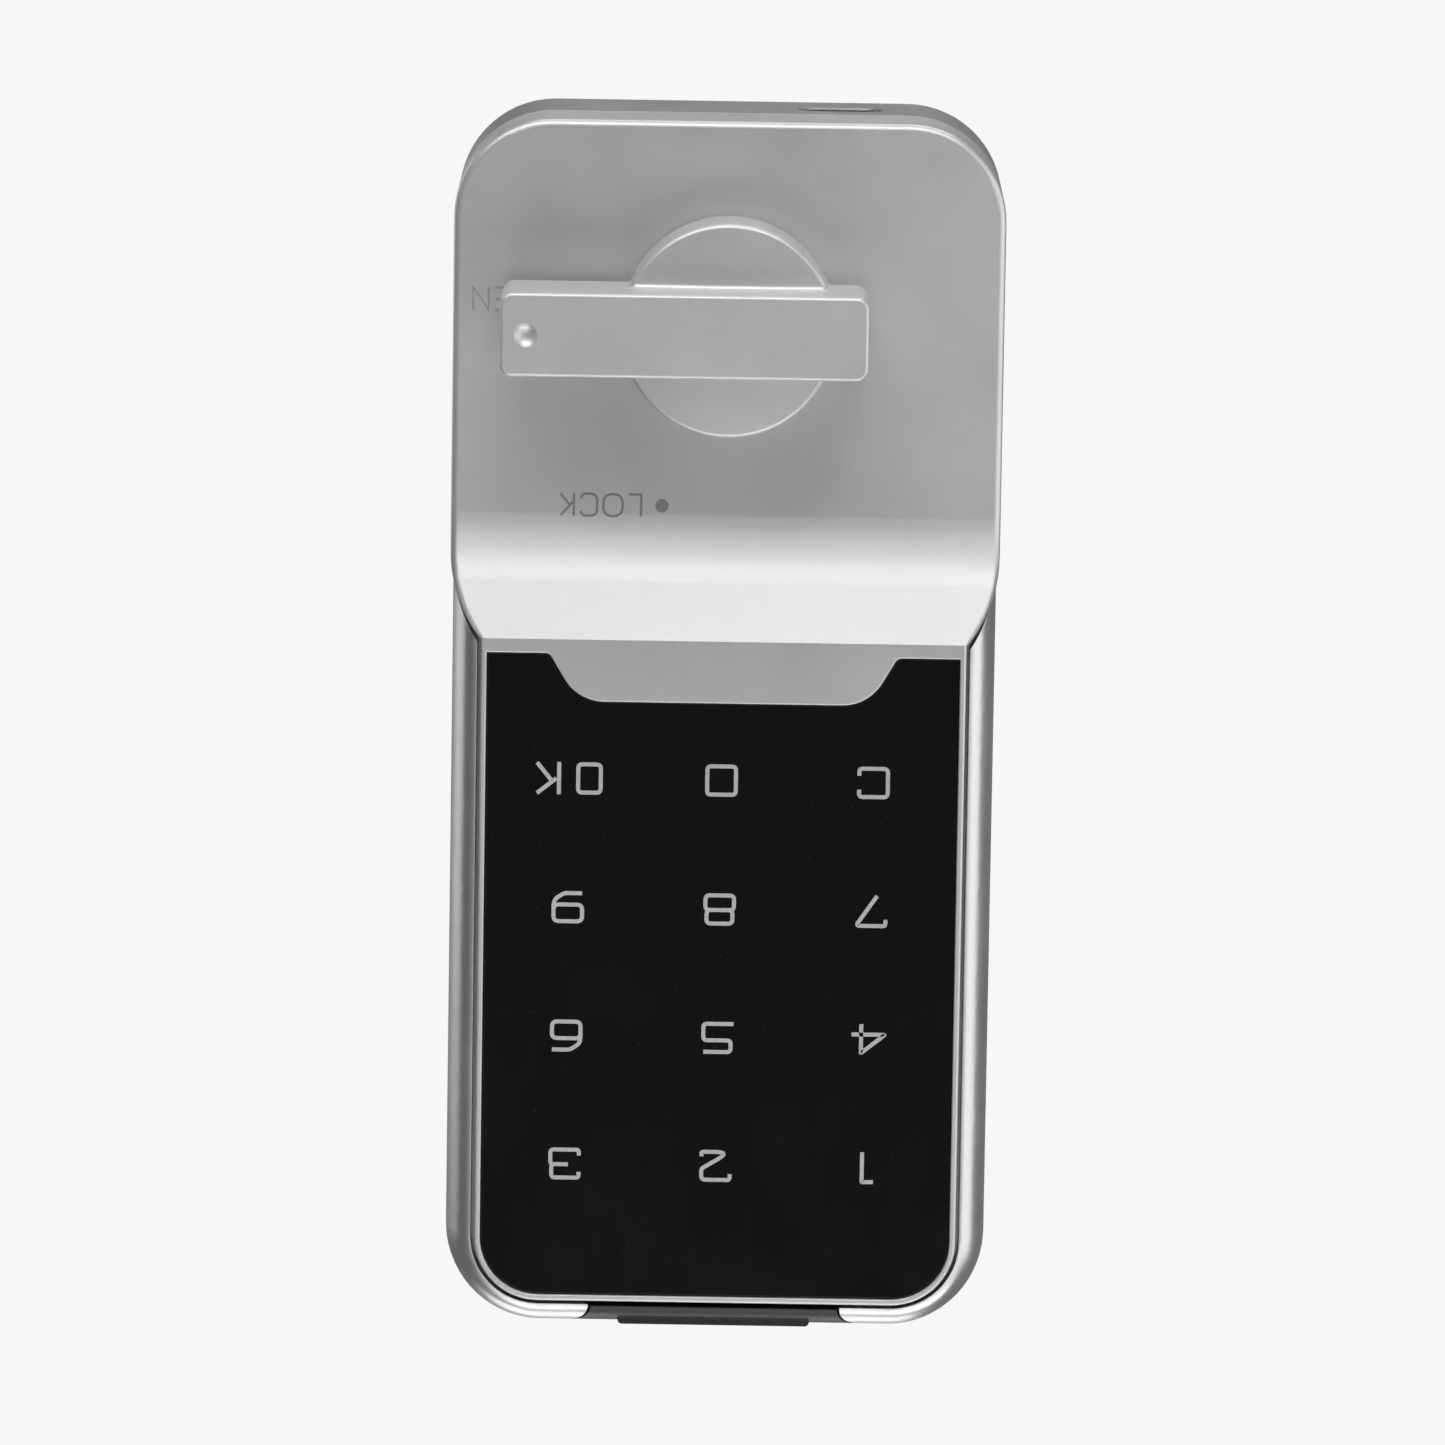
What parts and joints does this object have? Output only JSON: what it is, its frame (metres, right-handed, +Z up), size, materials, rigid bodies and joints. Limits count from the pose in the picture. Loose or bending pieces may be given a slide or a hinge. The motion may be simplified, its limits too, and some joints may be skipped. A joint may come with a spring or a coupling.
{
  "type": "keypad smart lock",
  "caption": "Surface-mounted cabinet lock with a black touch keypad, a raised hood with turning lever knob, a through-door barrel with cam, and a slide-out battery drawer.",
  "frame": {"origin": "where the knob's axis meets the door's outer face, at the back of the housing", "axes": "+Y through the door towards the cam, -Y is the front with keypad and knob; +Z up along the lock, with the keypad above the knob; +X to the right seen from the front"},
  "size_m": [0.062, 0.0624, 0.14],
  "materials": {
    "housing": "satin plated zinc casting, fine sand-blasted grain",
    "face": "satin plated zinc casting with bright polished edges",
    "glass_black": "black back-printed touch glass, high gloss",
    "film": "translucent light guide film",
    "board": "green solder mask on glass-fibre board",
    "led": "side-firing LED package",
    "chip": "moulded black package with tinned pins",
    "knob": "satin plated zinc casting",
    "steel": "turned steel",
    "zinc": "bright zinc plating",
    "bronze": "sintered bronze",
    "acetal": "natural acetal",
    "nylon": "black glass-filled nylon",
    "cover": "fine textured black plastic",
    "magnet": "nickel plated magnet",
    "motor": "drawn steel can",
    "gasket": "soft foam rubber",
    "cell": "plain sleeve with metal end",
    "contact": "nickel plated spring strip",
    "polyimide": "amber polyimide flex",
    "socket": "nickel plated stamped shell"
  },
  "bodies": {
    "lock": {"front_housing": "housing", "face_plate": "face", "glass_panel": "glass_black", "legend_film": "film", "touch_board": "board", "keypad_leds": "led", "touch_chip": "chip", "flex_cable": "polyimide", "main_board": "board", "controller_chip": "chip", "motor_driver_chip": "chip", "hall_sensor": "chip", "buzzer": "nylon", "motor_connector": "acetal", "usb_board": "board", "usb_shell": "socket", "usb_tongue": "chip", "spindle_bush": "bronze", "knob_washer": "acetal", "lock_bracket": "nylon", "bracket_screws": "zinc", "motor_can": "motor", "battery_bay": "nylon", "bay_contacts": "contact", "rear_plate": "zinc", "rear_screws": "zinc", "face_screws": "zinc", "board_screws": "zinc", "door_gasket": "gasket", "barrel": "zinc", "stop_pin": "steel", "barrel_washer": "zinc", "barrel_nut": "zinc"},
    "knob": {"knob": "knob", "spindle": "steel", "rotor": "steel", "rotor_magnet": "magnet", "circlip": "steel", "cam": "zinc", "cam_washer": "zinc", "cam_screw": "zinc"},
    "motor_shaft": {"lead_screw": "steel"},
    "blocker": {"blocker": "steel"},
    "drawer": {"battery_tray": "nylon", "battery_cover": "cover", "battery_1": "cell", "battery_2": "cell", "battery_3": "cell", "tray_contacts": "contact", "contact_springs": "contact"}
  },
  "joints": [
    {"name": "knob_turn", "type": "hinge", "parent": "lock", "child": "knob", "pos_m": [0, 0, 0], "axis": [0, -1, 0], "range_deg": [0, 90]},
    {"name": "motor_spin", "type": "hinge", "parent": "lock", "child": "motor_shaft", "pos_m": [0, -0.01, 0.02], "axis": [0, 0, -1], "range_deg": [0, 360.01]},
    {"name": "blocker_slide", "type": "slide", "parent": "lock", "child": "blocker", "axis": [0, 0, -1], "range_m": [0, 0.0025]},
    {"name": "drawer_slide", "type": "slide", "parent": "lock", "child": "drawer", "axis": [0, 0, 1], "range_m": [0, 0.042]}
  ],
  "couplings": [
    {"joint": "motor_spin", "follows": "blocker_slide", "rad_per_m": 2513.3}
  ]
}
